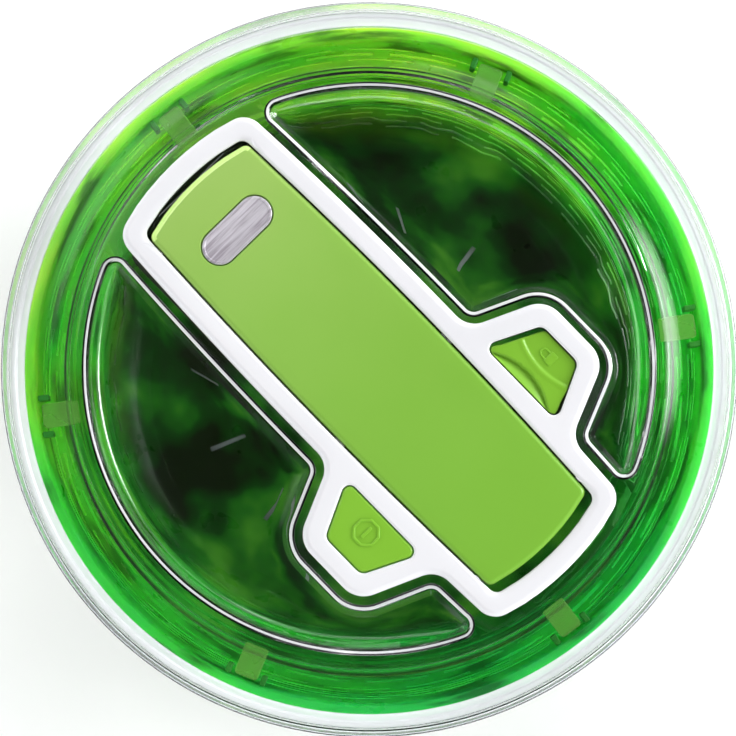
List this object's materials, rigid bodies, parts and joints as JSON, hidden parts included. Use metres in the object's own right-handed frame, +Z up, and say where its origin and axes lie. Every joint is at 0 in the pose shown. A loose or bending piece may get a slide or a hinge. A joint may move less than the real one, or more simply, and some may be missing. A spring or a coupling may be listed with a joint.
{
  "type": "salad spinner",
  "caption": "Lever-pumped salad spinner: clear bowl, slotted spinning basket, clear lid with a hinged lever, a brake button and a lock button.",
  "frame": {"origin": "centre of the foot ring's underside, on the surface that the bowl stands on", "axes": "+Z up; +X along the lever from its hinge to its free end; +Y towards the lock button, with the stop button on the -Y side"},
  "size_m": [0.262, 0.262, 0.1452],
  "materials": {
    "clear_plastic": "clear, glossy moulded plastic",
    "white_plastic": "satin white moulded plastic",
    "lever_green": "satin soft-touch green",
    "button_green": "satin green",
    "basket_green": "glossy green moulded plastic",
    "foot_green": "non-slip rubber",
    "acetal": "natural acetal",
    "steel": "bright drawn steel",
    "badge_silver": "brushed",
    "brake_rubber": "matt"
  },
  "bodies": {
    "bowl": {"bowl": "clear_plastic", "foot_ring": "foot_green"},
    "basket": {"basket": "basket_green", "pivot_cup": "acetal"},
    "lid": {"lid": "clear_plastic", "housing": "white_plastic", "gear_case": "white_plastic", "gear_frame": "acetal", "gear_cover": "white_plastic", "output_bush": "acetal", "hinge_pin": "steel", "idler_pin": "steel", "lever_spring": "steel", "stop_spring": "steel", "lock_spring": "steel", "brake_guide": "white_plastic", "case_screw_1": "steel", "case_screw_2": "steel", "case_screw_3": "steel", "case_screw_4": "steel", "lid_screw_1": "steel", "lid_screw_2": "steel"},
    "lever": {"lever_cover": "lever_green", "lever_core": "white_plastic", "badge": "badge_silver", "sector_gear": "acetal"},
    "cross_shaft": {"cross_shaft": "steel", "drive_pinion": "acetal", "bevel_gear": "acetal"},
    "transfer": {"transfer_shaft": "steel", "bevel_pinion": "acetal", "transfer_gear": "acetal"},
    "idler": {"idler_gear": "acetal"},
    "output": {"output_gear": "acetal", "clutch_spring": "steel"},
    "drive": {"drive_shaft": "acetal", "drive_disc": "clear_plastic", "disc_cap": "white_plastic"},
    "stop_button": {"stop_button": "button_green", "brake_plunger": "white_plastic", "brake_pad": "brake_rubber"},
    "lock_button": {"lock_button": "button_green"},
    "latch": {"latch_bolt": "white_plastic"}
  },
  "joints": [
    {"name": "basket_spin", "type": "hinge", "parent": "bowl", "child": "basket", "pos_m": [0, 0, 0.02], "axis": [0, 0, 1], "continuous": true},
    {"name": "lid_lift", "type": "slide", "parent": "bowl", "child": "lid", "axis": [0, 0, 1], "range_m": [0, 0.25]},
    {"name": "lever_hinge", "type": "hinge", "parent": "lid", "child": "lever", "pos_m": [-0.07958, 0, 0.1345], "axis": [0, -1, 0], "range_deg": [0, 30]},
    {"name": "pinion_spin", "type": "hinge", "parent": "lid", "child": "cross_shaft", "pos_m": [-0.0564, 0, 0.12829], "axis": [0, -1, 0], "range_deg": [-150, 0]},
    {"name": "transfer_spin", "type": "hinge", "parent": "lid", "child": "transfer", "pos_m": [-0.0564, 0, 0.12], "axis": [0, 0, 1], "range_deg": [0, 225]},
    {"name": "idler_spin", "type": "hinge", "parent": "lid", "child": "idler", "pos_m": [-0.021, 0, 0.116], "axis": [0, 0, 1], "range_deg": [-797, 0]},
    {"name": "output_spin", "type": "hinge", "parent": "lid", "child": "output", "pos_m": [0, 0, 0.116], "axis": [0, 0, 1], "range_deg": [0, 471]},
    {"name": "drive_spin", "type": "hinge", "parent": "lid", "child": "drive", "pos_m": [0, 0, 0.107], "axis": [0, 0, 1], "continuous": true},
    {"name": "stop_press", "type": "slide", "parent": "lid", "child": "stop_button", "axis": [0, 0, -1], "range_m": [0, 0.003], "stiffness_N_per_m": 400, "springref_m": -0.001, "deforming": ["stop_spring"]},
    {"name": "lock_press", "type": "slide", "parent": "lid", "child": "lock_button", "axis": [0, 0, -1], "range_m": [0, 0.003], "stiffness_N_per_m": 400, "springref_m": -0.001, "deforming": ["lock_spring"]},
    {"name": "latch_slide", "type": "slide", "parent": "lid", "child": "latch", "axis": [0, -1, 0], "range_m": [0, 0.003]}
  ],
  "couplings": [
    {"joint": "pinion_spin", "follows": "lever_hinge", "ratio": -5},
    {"joint": "transfer_spin", "follows": "lever_hinge", "ratio": 7.5},
    {"joint": "idler_spin", "follows": "lever_hinge", "ratio": -26.538},
    {"joint": "output_spin", "follows": "lever_hinge", "ratio": 15.682},
    {"joint": "drive_spin", "follows": "basket_spin", "ratio": 1},
    {"joint": "latch_slide", "follows": "lock_press", "ratio": 1}
  ]
}
